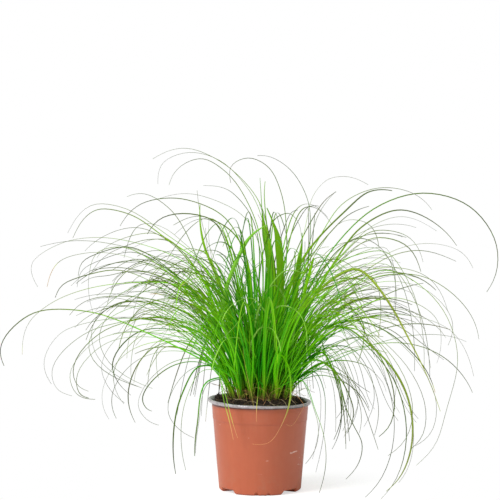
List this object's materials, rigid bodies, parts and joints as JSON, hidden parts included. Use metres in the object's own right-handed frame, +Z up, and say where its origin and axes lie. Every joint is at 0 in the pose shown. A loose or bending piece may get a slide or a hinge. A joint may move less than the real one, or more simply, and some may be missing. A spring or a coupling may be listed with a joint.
{
  "type": "potted cat grass",
  "caption": "Tuft of fine arching grass leaves growing from soil in a round tapered plastic nursery pot with a rolled lip and footed base.",
  "frame": {"origin": "on the pot's axis, in the plane of the feet that it stands on", "axes": "+Z up along the pot's axis, -Y towards the viewer of the picture, +X to that viewer's right"},
  "size_m": [0.5741, 0.4744, 0.4013],
  "materials": {
    "pot_plastic": "thin terracotta-coloured moulded plastic with a grey rolled lip, satin",
    "potting_soil": "dark crumbly peat with root fibres, matt",
    "leaf": "living leaf, saturated green at the base and greyer towards the thin tips, soft sheen"
  },
  "bodies": {
    "root": {"pot": "pot_plastic", "soil": "potting_soil", "shoot_01": "leaf", "shoot_02": "leaf", "shoot_03": "leaf", "shoot_04": "leaf", "shoot_05": "leaf", "shoot_06": "leaf", "shoot_07": "leaf", "shoot_08": "leaf", "shoot_09": "leaf", "shoot_10": "leaf", "shoot_11": "leaf", "shoot_12": "leaf", "shoot_13": "leaf", "shoot_14": "leaf", "shoot_15": "leaf", "shoot_16": "leaf", "shoot_17": "leaf", "shoot_18": "leaf", "shoot_19": "leaf", "shoot_20": "leaf", "shoot_21": "leaf", "shoot_22": "leaf", "shoot_23": "leaf", "shoot_24": "leaf", "shoot_25": "leaf", "shoot_26": "leaf", "shoot_27": "leaf", "shoot_28": "leaf", "shoot_29": "leaf", "shoot_30": "leaf", "shoot_31": "leaf", "shoot_32": "leaf", "shoot_33": "leaf", "shoot_34": "leaf", "shoot_35": "leaf", "shoot_36": "leaf", "shoot_37": "leaf", "shoot_38": "leaf"}
  },
  "joints": []
}
